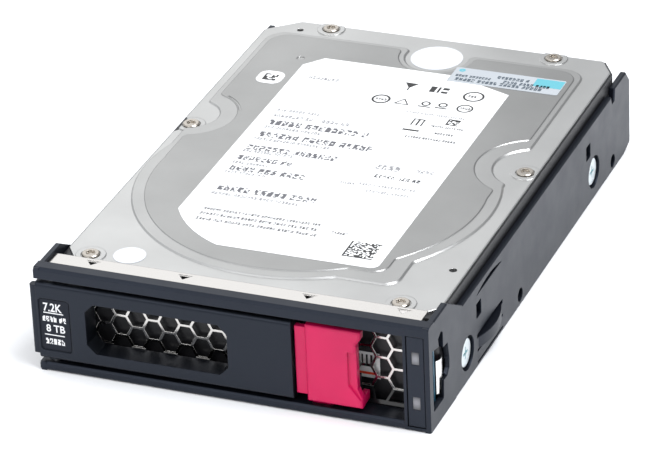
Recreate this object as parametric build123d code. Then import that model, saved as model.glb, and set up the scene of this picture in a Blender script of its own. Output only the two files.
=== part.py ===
"""Hard disk drive in a hot-plug carrier, as separate pieces.

Millimetres. X runs to the right of the front, Y from front to back, Z up.
The origin is on the drive's centre line, at the drive's front end, on the resting plane.
"""
import os
from math import cos, sin, radians

from build123d import *

os.makedirs("parts", exist_ok=True)

# ---- Driving dimensions: drive --------------------------------------------------------
drive_width = 101.6
drive_length = 147.0
drive_height = 26.1
drive_lift = 1.5            # underside of the drive above the resting plane
wall_floor = 1.6            # floor of the casting
pcb_pocket = 3.5            # depth of the pocket under the floor
cover_sheet = 0.6
cover_inset = 0.5           # cover edge inside the casting's edge
plateau_rise = 0.7
shelf_rise = 0.45
disc_radius = 47.5
disc_bore = 12.5
disc_thickness = 0.8
disc_pitch = 2.4
disc_count = 6
disc_gap = 1.1              # disc edge to the wall of its well
gasket_inner, gasket_outer = 0.3, 1.2
gasket_sheet = 0.5
spindle_ahead = 23.2        # spindle in front of the drive's middle
pivot_behind = 34.0         # actuator pivot behind the drive's middle
pivot_x = -8.0
arm_reach = 51.6            # pivot to the heads
arm_thickness = 0.7
parked_angle = -27.0        # direction of the arms at rest, from +X
coil_angle = parked_angle + 180
side_screw_z = 6.35         # side mounting holes above the drive's underside
side_screw_rear = 28.5      # rear side hole from the connector end
side_screw_pitch = 101.6
bottom_screw_rear = 41.3
bottom_screw_pitch = 44.45
bottom_screw_span = 95.25
mount_hole_radius = 1.6
mount_hole_depth = 4.5
pad_rise = 0.25             # round pads under the cover's screws
groove_depth = 0.2          # marks stamped into the cover
fit = 0.05                  # radial running clearance
seat = 0.1                  # air between a thin part and its neighbour
air = 0.3                   # least air round moving parts

# ---- Driving dimensions: carrier ------------------------------------------------------
carrier_width = 105.2
carrier_height = 29.5
carrier_front = -10.3
carrier_rear = drive_length + 3.4
rail_inner = drive_width / 2 + 0.2
rail_top = 22.8
cheek_rear = 3.3
cheek_foot = 14.0
rear_ear_top = 24.0
rail_notch = carrier_rear - 15.6
top_rail_under = 26.4
top_rail_rear = -5.9
bottom_rail_top = 2.4
bottom_rail_rear = -4.6
shelf_top = 1.2
shelf_rear = 8.0
opening_right = 45.7        # right edge of the front opening
lever_left = -52.4
lever_right = 16.5
lever_bottom = 3.3
lever_top = 25.3
lever_back = -4.4
lever_skin = 1.8
pivot_pin_x = -49.0
pivot_pin_y = -7.6
pivot_pin_radius = 1.25
latch_left = 17.2
latch_step = 20.1
latch_waist = 33.4          # right edge of the latch between its wider ends
latch_right = 34.6
latch_bottom = 3.7
latch_top = 25.2
latch_plate = 2.4
latch_travel = 4.0
shield_wall_y = -1.6
shield_fold_z = 5.65        # fold between the shield's wall and its sloping floor
shield_floor_front = -4.0
shield_floor_low = 2.3
shield_sheet = 0.3
hex_column = 4.39           # column to column
hex_row = 5.65              # cell to cell up a column
hex_bar = 0.7
hex_first = -42.1           # middle of the first column
led_panel_left = 46.6
led_panel_right = 51.2
led_panel_depth = 1.3
access_radius = 4.6         # holes in the rails that let the screws through
finger_front, finger_rear = -1.8, 2.2
finger_low, finger_high = 6.2, 15.6

# ---- Derived levels and places --------------------------------------------------------
half_drive = drive_width / 2
spindle_y = drive_length / 2 - spindle_ahead
pivot_y = drive_length / 2 + pivot_behind
half_carrier = carrier_width / 2
drive_top = drive_lift + drive_height
flange_top = drive_top - plateau_rise
casting_top = flange_top - cover_sheet
plateau_under = drive_top - cover_sheet
floor_under = drive_lift + pcb_pocket
floor_top = floor_under + wall_floor
stack_base = floor_top + 1.6
stack_top = stack_base + disc_pitch * (disc_count - 1) + disc_thickness
well_radius = disc_radius + disc_gap
well_half = 44.0
well_front = spindle_y + 28.2
well_rear = drive_length - 5.8
spindle = (0, spindle_y)
pivot = (pivot_x, pivot_y)
clamp_top = stack_top + 1.2
hub_radius = disc_bore - seat
shaft_radius = 2.5
sleeve_radius = 4.7
stator_seat_radius = 6.3
rotor_inner = hub_radius - 1.2
side_screw_ys = [drive_length - side_screw_rear - side_screw_pitch, drive_length - side_screw_rear]
side_z = drive_lift + side_screw_z
bottom_screw_ys = [drive_length - bottom_screw_rear - bottom_screw_pitch, drive_length - bottom_screw_rear]
cover_edge = half_drive - cover_inset
cover_screw_places = [(-43.3, 4.3), (40.3, 3.9), (-47.2, spindle_y + 28.3), (47.2, spindle_y + 27.7),
                      (-32.4, drive_length - 3.0), (32.9, drive_length - 3.0)]
cover_screw_radius = 1.2
cover_head_radius = 2.3
plateau_slope = 3.4         # foot of the raised middle to its top edge, in plan
plateau_centre = (-1.5, spindle_y + 3.9)
plateau_radius = 48.2
plateau_left, plateau_right = -48.0, 44.5
plateau_rear = drive_length - 8.5
rear_dot = (2.1, drive_length - 11.8)
rear_dot_radius = 7.2
screw_bays = [((-50.0, spindle_y + 33.7), 8.1), ((49.0, spindle_y + 30.2), 10.9), (rear_dot, 8.7)]
connector_x = half_drive - 33.4
connector_half = 21.4
connector_front = drive_length - 4.7
connector_top = drive_lift + 6.8
pcb_half = 43.0
pcb_front = pivot_y - 23.5
pcb_bottom = drive_lift + 0.4
pcb_sheet = 1.0
pcb_top = pcb_bottom + pcb_sheet
pcb_screw_places = [(-39.0, pcb_front + 4), (0.0, pcb_front + 4), (39.0, pcb_front + 4),
                    (-39.0, drive_length - 13)]


# ---- Shape helpers --------------------------------------------------------------------
def block(x0, x1, y0, y1, z0, z1):
    """Box between two opposite corners."""
    return Pos((x0 + x1) / 2, (y0 + y1) / 2, (z0 + z1) / 2) * Box(x1 - x0, y1 - y0, z1 - z0)


def post(place, z0, z1, radius):
    """Upright cylinder at a place in plan."""
    return Pos(place[0], place[1], (z0 + z1) / 2) * Cylinder(radius, z1 - z0)


def tube(place, z0, z1, outer, inner):
    return post(place, z0, z1, outer) - post(place, z0 - 1, z1 + 1, inner)


def bar_x(x0, x1, y, z, radius):
    """Cylinder lying along X."""
    return Pos((x0 + x1) / 2, y, z) * Rot(0, 90, 0) * Cylinder(radius, x1 - x0)


def plan(points):
    return Polygon(*points, align=None)


def slab(face, z0, z1):
    """Plan face extruded upwards."""
    return extrude(Pos(0, 0, z0) * face, amount=z1 - z0, dir=(0, 0, 1))


def side_slab(points, x0, x1):
    """Outline of (Y, Z) points extruded along X."""
    return extrude(Plane.YZ.offset(x0) * Polygon(*points, align=None), amount=x1 - x0, dir=(1, 0, 0))


def front_slab(face, y0, y1):
    """Face in X and Z extruded along Y."""
    return extrude(Plane.XZ.offset(-y0) * face, amount=y1 - y0, dir=(0, 1, 0))


def rect_plan(x0, x1, y0, y1, radius=0.0):
    face = Pos((x0 + x1) / 2, (y0 + y1) / 2) * Rectangle(x1 - x0, y1 - y0)
    return fillet(face.vertices(), radius) if radius else face


def polar(centre, radius, angle):
    return (centre[0] + radius * cos(radians(angle)), centre[1] + radius * sin(radians(angle)))


def softened(face, radius):
    """Plan face with all its corners rounded, inside and outside."""
    for amount in (radius, -2 * radius, radius):
        face = offset(face, amount=amount, kind=Kind.ARC)
    return face


def sector_plan(centre, inner, outer, start, end):
    """Flat ring sector about a centre."""
    reach = 3 * outer
    middle = (start + end) / 2
    wedge = plan([centre] + [polar(centre, reach, angle) for angle in (start, middle, end)])
    ring = Pos(centre[0], centre[1]) * (Circle(outer) - Circle(inner))
    return ring & wedge


def edges_at(shape, axis, value):
    """Edges that lie wholly at one coordinate along an axis."""
    found = shape.edges().filter_by_position(axis, value - 0.01, value + 0.01)
    return found


def mirrored(shape):
    return mirror(shape, about=Plane.YZ)


def save(name, *shapes):
    """Write one node, whose pieces stay separate solids."""
    solids = [solid for shape in shapes for solid in shape.solids()]
    export_step(Compound(children=solids) if len(solids) > 1 else solids[0], f"parts/{name}.step")


# ---- Drive: casting and cover ---------------------------------------------------------
def well_plan(grow=0.0):
    """Plan of the sealed space: the disc well joined to the actuator well."""
    round_well = Pos(*spindle) * Circle(well_radius + grow)
    square_well = rect_plan(-well_half - grow, well_half + grow, well_front, well_rear + grow, 3.0)
    return round_well + square_well


def corner_plan(inset=0.0):
    """Plan of the drive with its two rear corners cut off."""
    edge = half_drive - inset
    rear = drive_length - inset
    face = plan([(-edge, inset), (edge, inset), (edge, rear - 6.3), (edge - 3.9, rear), (-edge + 8.3, rear),
                 (-edge, rear - 7.2)])
    front_corners = face.vertices().filter_by_position(Axis.Y, inset - 0.01, inset + 0.01)
    return fillet(front_corners, 2.0)


def base_casting():
    outline = corner_plan()
    body = slab(outline, drive_lift, casting_top)
    body -= slab(well_plan(), floor_top, casting_top + 1)
    body -= block(-pcb_half - 0.5, pcb_half + 0.5, pcb_front - 0.5, drive_length + 1,
                  drive_lift - 1, floor_under)
    for place in pcb_screw_places:
        body += post(place, pcb_top, floor_under, 2.5)
        body -= post(place, pcb_top - 1, floor_under + 0.8, 0.95)
    motor_ring = Pos(*spindle) * (Circle(36) - Circle(15))
    body -= slab(motor_ring, drive_lift - 1, drive_lift + 2.0)
    body += tube(spindle, floor_top, stack_base + 3.4, stator_seat_radius, sleeve_radius + 0.4)
    body -= post(spindle, floor_under - 2, casting_top, shaft_radius)
    body -= post(pivot, floor_under - 0.1, casting_top, 2.0)
    gasket_groove = well_plan(gasket_outer) - well_plan(gasket_inner)
    body -= slab(gasket_groove, casting_top - gasket_sheet, casting_top + 1)
    for x, y in cover_screw_places:
        body -= post((x, y), casting_top - 5, casting_top + 1, cover_screw_radius)
    for side in (-1, 1):
        for y in side_screw_ys:
            tip = side * (half_drive - mount_hole_depth)
            mouth = side * (half_drive + 1)
            body -= bar_x(min(tip, mouth), max(tip, mouth), y, side_z, mount_hole_radius)
        for y in bottom_screw_ys:
            place = (side * bottom_screw_span / 2, y)
            body -= post(place, drive_lift - 1, drive_lift + 3.2, mount_hole_radius)
    body -= block(connector_x - connector_half, connector_x + connector_half,
                  connector_front, drive_length + 1, drive_lift - 1, connector_top)
    return body


def plateau_plan(shrink):
    """Raised middle of the cover: round over the discs, square over the actuator."""
    bay_slope, side_slope = 1.4, 0.5
    face = Pos(*plateau_centre) * Circle(plateau_radius - shrink)
    side = side_slope * shrink
    face += rect_plan(plateau_left + side, plateau_right - side, plateau_centre[1], plateau_rear - side, 6.0)
    bulge = bay_slope * shrink
    face += rect_plan(10.0, 36.2 - bulge, spindle_y - 39.0 + bulge, spindle_y, 4.0)
    for place, radius in screw_bays:
        face -= Pos(*place) * Circle(radius + (bulge if place != rear_dot else side))
    return softened(face, 2.0)


def cover_outline():
    """Cover sheet: the drive's plan with its front corners cut and a notch in its left edge."""
    face = corner_plan(cover_inset)
    edge = cover_edge
    face -= plan([(-edge - 1, -1), (-45.9, -1), (-45.9, cover_inset), (-edge, 6.6), (-edge - 1, 6.6)])
    face -= plan([(edge + 1, -1), (46.4, -1), (46.4, cover_inset), (edge, 5.0), (edge + 1, 5.0)])
    notch_front, notch_rear = spindle_y + 23.5, spindle_y + 32.3
    face -= plan([(-edge - 1, notch_front), (-edge, notch_front), (-edge + 0.9, notch_front + 1.2),
                  (-edge + 0.9, notch_rear - 1.2), (-edge, notch_rear), (-edge - 1, notch_rear)])
    return face


def top_cover():
    body = slab(cover_outline(), casting_top, flange_top)
    body = chamfer(edges_at(body, Axis.Z, flange_top), 0.15)
    for shrink, level, bevel in ((0, flange_top + shelf_rise, 0.4), (plateau_slope, drive_top, 0.22)):
        step = slab(plateau_plan(shrink), casting_top, level)
        body += chamfer(edges_at(step, Axis.Z, level), bevel)
    inner = plateau_plan(plateau_slope + 2 * cover_sheet) & well_plan(-1.0)
    body -= slab(inner, casting_top - 1, plateau_under)
    for place in cover_screw_places:
        body += slab(Pos(*place) * Circle(3.9) & cover_outline(), casting_top, flange_top + pad_rise)
    for place in cover_screw_places:
        body -= post(place, casting_top - 1, drive_top, cover_screw_radius + 0.2)
        body -= post(place, flange_top - 0.1, drive_top, cover_head_radius + 0.25)
    for place in (spindle, pivot):
        body -= post(place, drive_top - 0.35, drive_top + 1, 2.6)
        body -= post(place, casting_top, drive_top + 1, 1.1)
    body -= slab(sector_plan(screw_bays[0][0], 13.3, 13.9, 22, 62), drive_top - groove_depth, drive_top + 1)
    body -= post((-33.4, drive_length - 23.6), drive_top - groove_depth, drive_top + 1, 1.1)
    body -= post((-40.6, drive_length - 5.7), casting_top - 1, drive_top, 0.9)
    body -= post((46.8, 23.7), casting_top - 1, drive_top, 1.0)
    return body


def cover_gasket():
    return slab(well_plan(gasket_outer) - well_plan(gasket_inner), casting_top - gasket_sheet, casting_top)


def torx_screw(place, seat_z, head_r, head_h, shank_r, depth, socket_r):
    """Round-head screw with a six-lobed socket, pointing down."""
    head = post(place, seat_z, seat_z + head_h, head_r)
    head = chamfer(edges_at(head, Axis.Z, seat_z + head_h), min(0.3, head_h / 3))
    lobes = [post(polar(place, socket_r * 0.62, 60 * k), seat_z + head_h * 0.45, seat_z + head_h + 1,
                  socket_r * 0.38) for k in range(6)]
    socket = post(place, seat_z + head_h * 0.45, seat_z + head_h + 1, socket_r * 0.72)
    for lobe in lobes:
        socket += lobe
    return head + post(place, seat_z - depth, seat_z, shank_r) - socket


def cover_screws():
    return [torx_screw(p, flange_top - 0.1, cover_head_radius, 0.8, cover_screw_radius - fit, 4.6, 1.25)
            for p in cover_screw_places]


def shaft_screws():
    return [torx_screw(p, drive_top - 0.35, 2.4, 0.3, 1.0, 2.2, 1.1) for p in (spindle, pivot)]


# ---- Drive: spindle -------------------------------------------------------------------
def spindle_shaft():
    shaft = post(spindle, floor_under - 2, plateau_under, shaft_radius)
    return shaft - post(spindle, plateau_under - 2.2, plateau_under + 1, 1.0 + fit)


def spindle_bearing():
    return tube(spindle, floor_top + air, stack_top, sleeve_radius, shaft_radius + fit)


def spindle_hub():
    rim = tube(spindle, stack_base, stack_top, hub_radius, rotor_inner)
    flange = tube(spindle, stack_base - 1.2, stack_base, hub_radius + 2.6, rotor_inner)
    web = tube(spindle, stack_base + 6.4, stack_top, rotor_inner + 0.01, sleeve_radius)
    hub = rim + flange + web
    for k in range(disc_count):
        hub -= post(polar(spindle, 9.0, 60 * k), stack_top - 4, stack_top + 1, 0.9)
    return hub


def rotor_magnet():
    return tube(spindle, stack_base, stack_base + 4.4, rotor_inner, rotor_inner - 1.1)


def stator_core():
    z0, z1 = stack_base + 0.6, stack_base + 3.4
    tooth_tip = rotor_inner - 1.1 - air
    core = tube(spindle, z0, z1, stator_seat_radius + 0.9, stator_seat_radius)
    for k in range(9):
        angle = 40 * k
        tooth = Rot(0, 0, angle) * block(stator_seat_radius + 0.5, tooth_tip - 0.3, -0.45, 0.45, z0, z1)
        core += Pos(*spindle, 0) * tooth
        core += slab(sector_plan(spindle, tooth_tip - 0.6, tooth_tip, angle - 15, angle + 15), z0, z1)
    return core


def stator_coils():
    z0, z1 = stack_base + 0.15, stack_base + 3.85
    coils = []
    for k in range(9):
        inner = stator_seat_radius + 1.0
        outer = rotor_inner - 1.1 - air - 0.7
        winding = block(inner, outer, -1.0, 1.0, z0, z1) - block(0, 20, -0.47, 0.47, z0 + 0.43, z1 - 0.43)
        coils.append(Pos(*spindle, 0) * Rot(0, 0, 40 * k) * winding)
    return coils


def disc_level(k):
    return stack_base + disc_pitch * k


def platters():
    return [tube(spindle, disc_level(k), disc_level(k) + disc_thickness, disc_radius, disc_bore)
            for k in range(disc_count)]


def platter_spacers():
    return [tube(spindle, disc_level(k) + disc_thickness, disc_level(k + 1), hub_radius + 2.6, disc_bore)
            for k in range(disc_count - 1)]


def disc_clamp():
    clamp = tube(spindle, stack_top, clamp_top, hub_radius + 2.6, sleeve_radius + 0.6)
    for k in range(6):
        clamp -= post(polar(spindle, 9.0, 60 * k), stack_top - 1, clamp_top + 1, 0.9 + fit)
    return chamfer(edges_at(clamp, Axis.Z, clamp_top).filter_by(lambda e: e.length > 60), 0.5)


def clamp_screws():
    places = [polar(spindle, 9.0, 60 * k) for k in range(6)]
    return [torx_screw(place, clamp_top, 1.7, 0.9, 0.9 - fit, 3.6, 0.9) for place in places]


# ---- Drive: actuator ------------------------------------------------------------------
def at_pivot(shape, angle):
    """Turn a shape drawn along +X about the pivot to a direction."""
    return Pos(pivot_x, pivot_y, 0) * Rot(0, 0, angle) * shape


def arm_level(k):
    return stack_base + disc_thickness / 2 + disc_pitch * (k - 0.5)


arm_root = 36.0
coil_z0 = stack_base + 4.9
coil_z1 = coil_z0 + 3.0
coil_inner = 17.0
coil_outer = 31.0
barrel_radius = 8.0
cartridge_radius = 5.5
barrel_bottom = floor_top + 0.4
barrel_top = arm_level(disc_count) + arm_thickness / 2


def coil_plan(grow):
    return sector_plan((0, 0), coil_inner - grow, coil_outer + grow, -19 - 1.8 * grow, 19 + 1.8 * grow)


def actuator_carriage():
    body = post((0, 0), barrel_bottom, barrel_top, barrel_radius)
    for k in range(disc_count + 1):
        z0 = arm_level(k) - arm_thickness / 2
        arm = plan([(4, -7.0), (16, -5.2), (arm_root, -2.4), (arm_root, 2.4), (16, 5.2), (4, 7.0)])
        arm -= Pos(20, 0) * Circle(2.0)
        body += slab(arm, z0, z0 + arm_thickness)
    fork = coil_plan(1.4) - coil_plan(0)
    fork += plan([(-4, -6), (coil_inner - 1.0, -6.5), (coil_inner - 1.0, 6.5), (-4, 6)])
    body += Rot(0, 0, 180) * slab(fork, coil_z0, coil_z1)
    body -= post((0, 0), barrel_bottom - 1, barrel_top + 1, cartridge_radius)
    return at_pivot(body, parked_angle)


def voice_coil():
    winding = slab(coil_plan(0) - coil_plan(-3.2), coil_z0 + 0.1, coil_z1 - 0.1)
    return at_pivot(winding, coil_angle)


def suspension_levels():
    """Level and side of each suspension: above or below its arm, facing a disc."""
    sheet = 0.12
    for k in range(disc_count + 1):
        if k < disc_count:
            yield arm_level(k) + arm_thickness / 2, sheet
        if k > 0:
            yield arm_level(k) - arm_thickness / 2 - sheet, sheet


def head_suspensions():
    outline = plan([(arm_root - 6, -2.2), (arm_root, -2.2), (arm_reach - 1, -0.8), (arm_reach + 1.2, -0.3),
                    (arm_reach + 3.2, -0.3), (arm_reach + 3.2, 0.3), (arm_reach + 1.2, 0.3),
                    (arm_reach - 1, 0.8), (arm_root, 2.2), (arm_root - 6, 2.2)])
    return [at_pivot(slab(outline, z, z + t), parked_angle) for z, t in suspension_levels()]


def head_sliders():
    sliders = []
    for z, t in suspension_levels():
        faces_up = z > arm_level(round((z - arm_level(0)) / disc_pitch))
        z0 = z + t if faces_up else z - 0.2
        sliders.append(at_pivot(block(arm_reach - 1.2, arm_reach, -0.4, 0.4, z0, z0 + 0.2), parked_angle))
    return sliders


def pivot_shaft():
    shaft = post(pivot, floor_under, plateau_under, 2.0)
    return shaft - post(pivot, plateau_under - 2.2, plateau_under + 1, 1.0 + fit)


def pivot_bearing():
    return tube(pivot, barrel_bottom, barrel_top, cartridge_radius, 2.0 + fit)


yoke_start, yoke_end = 86.0, 187.0
yoke_inner, yoke_outer = 12.0, 32.8
lower_yoke_z = (floor_top + 1.2, floor_top + 3.2)
upper_yoke_z = (coil_z1 + 3.1, coil_z1 + 5.1)
yoke_posts = [polar(pivot, 30.0, yoke_start + 3), polar(pivot, 30.0, yoke_end - 3)]


def yoke_plan():
    return sector_plan(pivot, yoke_inner, yoke_outer, yoke_start, yoke_end)


def lower_yoke():
    plate = slab(yoke_plan(), *lower_yoke_z)
    for angle in (95, 136, 178):
        plate += post(polar(pivot, 24, angle), floor_top, lower_yoke_z[0] + 0.1, 2.0)
    return plate


def upper_yoke():
    plate = slab(yoke_plan(), *upper_yoke_z)
    for place in yoke_posts:
        plate += post(place, lower_yoke_z[1], upper_yoke_z[0] + 0.1, 1.4)
    return plate


def voice_coil_magnets():
    face = sector_plan(pivot, coil_inner - 1, coil_outer + 0.5, yoke_start + 9, yoke_end - 9)
    magnet = 1.8
    return [slab(face, lower_yoke_z[1], lower_yoke_z[1] + magnet),
            slab(face, upper_yoke_z[0] - magnet, upper_yoke_z[0])]


def crash_stops():
    return [tube(place, coil_z0, coil_z1, 2.2, 1.4) for place in yoke_posts]


def flex_bracket():
    front = pivot_y + 14.5
    body = block(14, 36, front, front + 16, floor_top, floor_top + 2.4)
    body += block(14, 16, front, front + 10, floor_top, floor_top + 11)
    return body


def flex_cable():
    """Thin ribbon on edge, looping from the bracket to the carriage."""
    start = (13.85, pivot_y + 16.5)
    end = polar(pivot, barrel_radius + air, 40)
    path = ThreePointArc(start, ((start[0] + end[0]) / 2 + 2.5, (start[1] + end[1]) / 2 - 4.5), end)
    ribbon = offset(path, 0.08, side=Side.BOTH)
    return slab(make_face(ribbon), floor_top + 3.0, floor_top + 10.5)


def load_ramp():
    wall = sector_plan(pivot, arm_reach + 3.7, arm_reach + 4.9, -28.5, -24.2)
    body = slab(wall, floor_top, barrel_top + 0.4)
    for k in range(disc_count + 1):
        finger = sector_plan(pivot, arm_reach + 1.4, arm_reach + 4.0, -28.5, -24.2)
        body += slab(finger, arm_level(k) - 0.25, arm_level(k) + 0.25)
    return body


def recirculation_filter():
    front = spindle_y + 33.7
    return block(-well_half + 0.2, -well_half + 4.4, front, front + 7, floor_top, floor_top + 13)


def breather_filter():
    return post((26, pivot_y + 4.5), plateau_under - 2.2, plateau_under, 6.0)


# ---- Drive: electronics ---------------------------------------------------------------
def pcb():
    board = block(-pcb_half, pcb_half, pcb_front, drive_length - 0.6, pcb_bottom, pcb_top)
    for place in pcb_screw_places:
        board -= post(place, pcb_bottom - 1, pcb_top + 1, 1.0)
    return board


def pcb_screws():
    return [Pos(0, 0, 2 * pcb_bottom) * Rot(180, 0, 0) * Pos(0, -2 * y, 0) *
            torx_screw((x, y), pcb_bottom, 2.2, 0.35, 0.9, 2.2, 0.9) for x, y in pcb_screw_places]


chip_places = {"controller_chip": (8, pivot_y + 4.5, 14, 14, 1.2),
               "memory_chip": (26, pivot_y + 2.5, 12, 8, 1.0),
               "motor_driver_chip": (-14, pivot_y - 1.5, 9, 9, 1.0)}


def chip(x, y, width, depth, height):
    return block(x - width / 2, x + width / 2, y - depth / 2, y + depth / 2, pcb_top, pcb_top + height)


def pcb_foam_pad():
    return block(-34, 34, pivot_y - 14.5, pivot_y + 21.5, floor_under - 0.7, floor_under)


def connector_housing():
    x0, x1 = connector_x - connector_half + seat, connector_x + connector_half - seat
    body = block(x0, x1, connector_front, drive_length, pcb_top, connector_top - seat)
    body -= block(x0 + 1, x1 - 1, connector_front + 1, drive_length + 1, pcb_top + 0.7, connector_top - 0.8)
    body += block(x0 + 2, x1 - 2, connector_front + 0.9, drive_length - 0.4, pcb_top + 2.0, pcb_top + 3.1)
    return body


def connector_contacts():
    first = connector_x - connector_half + 3.6
    centres = [first + 1.27 * k for k in range(29)]
    return [block(x - 0.25, x + 0.25, connector_front + 1.0, drive_length - 0.6, pcb_top + 3.1, pcb_top + 3.2)
            for x in centres]


# ---- Labels and stickers --------------------------------------------------------------
label_sheet = 0.1


label_left, label_right = -31.3, 28.9
label_front, label_rear = spindle_y - 33.0, drive_length - 22.0
label_round = 36.0          # round front left corner, about the spindle
strip_left, strip_right = 9.9, 41.3
strip_front, strip_rear = drive_length - 25.4, drive_length - 16.6


def main_label_plan():
    """Label with one big round corner and a corner cut back for the strip label."""
    face = rect_plan(label_left, label_right, label_front, label_rear, 2.4)
    face -= rect_plan(label_left - 1, -8, label_front - 1, spindle_y) - Pos(*spindle) * Circle(label_round)
    face -= plan([(strip_left - 0.1, strip_front - 0.1), (strip_left + 10, strip_front - 0.1),
                  (label_right + 1, strip_front - 4), (label_right + 1, label_rear + 1),
                  (strip_left - 0.1, label_rear + 1)])
    face -= plan([(label_left - 1, label_rear - 6.2), (label_left, label_rear - 5.4),
                  (label_left + 4.5, label_rear), (label_left - 1, label_rear + 1)])
    return face


def main_label():
    return slab(main_label_plan(), drive_top, drive_top + label_sheet)


def seal_dots():
    return [post((-33.7, 6.8), flange_top, flange_top + label_sheet, 4.2),
            post(rear_dot, flange_top, flange_top + label_sheet, rear_dot_radius)]


def data_sticker():
    front = drive_length - 40.8
    return slab(rect_plan(-40.6, -33.3, front, front + 7.4, 2.6), drive_top, drive_top + label_sheet)


def serial_strip_label():
    face = rect_plan(strip_left, strip_right, strip_front, strip_rear, 0.6)
    return slab(face, drive_top, drive_top + label_sheet)


def front_label():
    return block(21.0, 35.7, -label_sheet, 0, drive_lift + 5.4, drive_lift + 12.6)


# ---- Carrier --------------------------------------------------------------------------
def rail_outline():
    """Side view of a rail as (Y, Z) points, without its openings."""
    return [(carrier_front, 0), (carrier_rear - 5.9, 0), (carrier_rear - 0.8, 1.2), (carrier_rear, 2.6),
            (carrier_rear, 20.6), (carrier_rear - 3.0, rear_ear_top), (rail_notch + 2.4, rear_ear_top),
            (rail_notch + 1.8, 20.4), (rail_notch, 20.4), (rail_notch - 0.6, rail_top),
            (cheek_foot, rail_top + 0.3), (cheek_rear, carrier_height - 0.1),
            (carrier_front, carrier_height - 0.1)]


def lens_plan(y0, y1, z_flat, rise):
    """Slot in (Y, Z) with one straight edge and one curved edge."""
    middle = (y0 + y1) / 2
    edge = Line((y0, z_flat), (y1, z_flat))
    arc = ThreePointArc((y1, z_flat), (middle, z_flat + rise), (y0, z_flat))
    return make_face([edge, arc])


def rail_cut(face):
    """Cutter through the right rail from a face in Y and Z."""
    return extrude(Plane.YZ.offset(rail_inner - 1) * face, amount=5, dir=(1, 0, 0))


def rail_rect(y0, y1, z0, z1, radius=0.0):
    face = Pos((y0 + y1) / 2, (z0 + z1) / 2) * Rectangle(y1 - y0, z1 - z0)
    return fillet(face.vertices(), radius) if radius else face


leaf_front, leaf_rear = 24.0, 43.3
leaf_low, leaf_high = 4.9, 8.0
leaf_bow = 1.7


def window_points():
    """Outline of the opening through the carrier's front corner, in Y and Z."""
    return [(-8.0, 5.0), (-8.0, 22.0), (-3.4, 20.9), (-3.8, 23.2), (-1.6, 24.4), (-0.4, 23.4), (-0.4, 19.1),
            (2.7, 18.8), (3.7, 14.0), (3.5, 11.4), (2.0, 9.9), (-0.5, 9.9), (-0.9, 5.0)]


def side_rail():
    """Right rail with its screw holes, slots and spring leaf."""
    rail = side_slab(rail_outline(), rail_inner, half_carrier)
    outer_edges = edges_at(rail, Axis.X, half_carrier)
    rail = chamfer(outer_edges.filter_by(lambda e: e.length > 2.2), 0.3)
    for y in side_screw_ys:
        rail -= bar_x(rail_inner + 0.5, half_carrier + 1, y, side_z, access_radius)
        rail += bar_x(half_drive, rail_inner + 0.5, y, side_z, access_radius)
        rail -= bar_x(half_drive - 1, half_carrier, y, side_z, mount_hole_radius + 0.3)
    for y0, z0 in ((23.8, 13.8), (carrier_rear - 38.4, 14.0)):
        rail -= rail_cut(rail_rect(y0, y0 + 3.6, z0, z0 + 4.2, 0.4))
    rail -= rail_cut(lens_plan(leaf_front, leaf_rear, 20.2, 1.3))
    rail -= rail_cut(rail_rect(leaf_front, leaf_rear, leaf_high, leaf_high + 1.2, 0.3))
    rail -= rail_cut(rail_rect(leaf_front, leaf_rear, leaf_low - 0.7, leaf_low, 0.3))
    rail -= rail_cut(rail_rect(leaf_front, leaf_rear, 0.9, 1.5, 0.25))
    for y in (56.9, carrier_rear - 15.5):
        rail -= rail_cut(Pos(y, 3.0) * Circle(1.9))
    rail += slab(leaf_plan(half_carrier, leaf_bow), leaf_low, leaf_high)
    rail -= block(rail_inner - 0.5, rail_inner + 0.35, 0, carrier_rear - 6, 9.8, 13.2)
    return rail


def leaf_plan(x, bow):
    """Bowed strip standing out from the rail's outer face."""
    middle = (leaf_front + leaf_rear) / 2
    arc = ThreePointArc((x - 0.4, leaf_front), (x + bow, middle), (x - 0.4, leaf_rear))
    back = Line((x - 0.4, leaf_rear), (x - 0.4, leaf_front))
    return make_face([arc, back])


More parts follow.
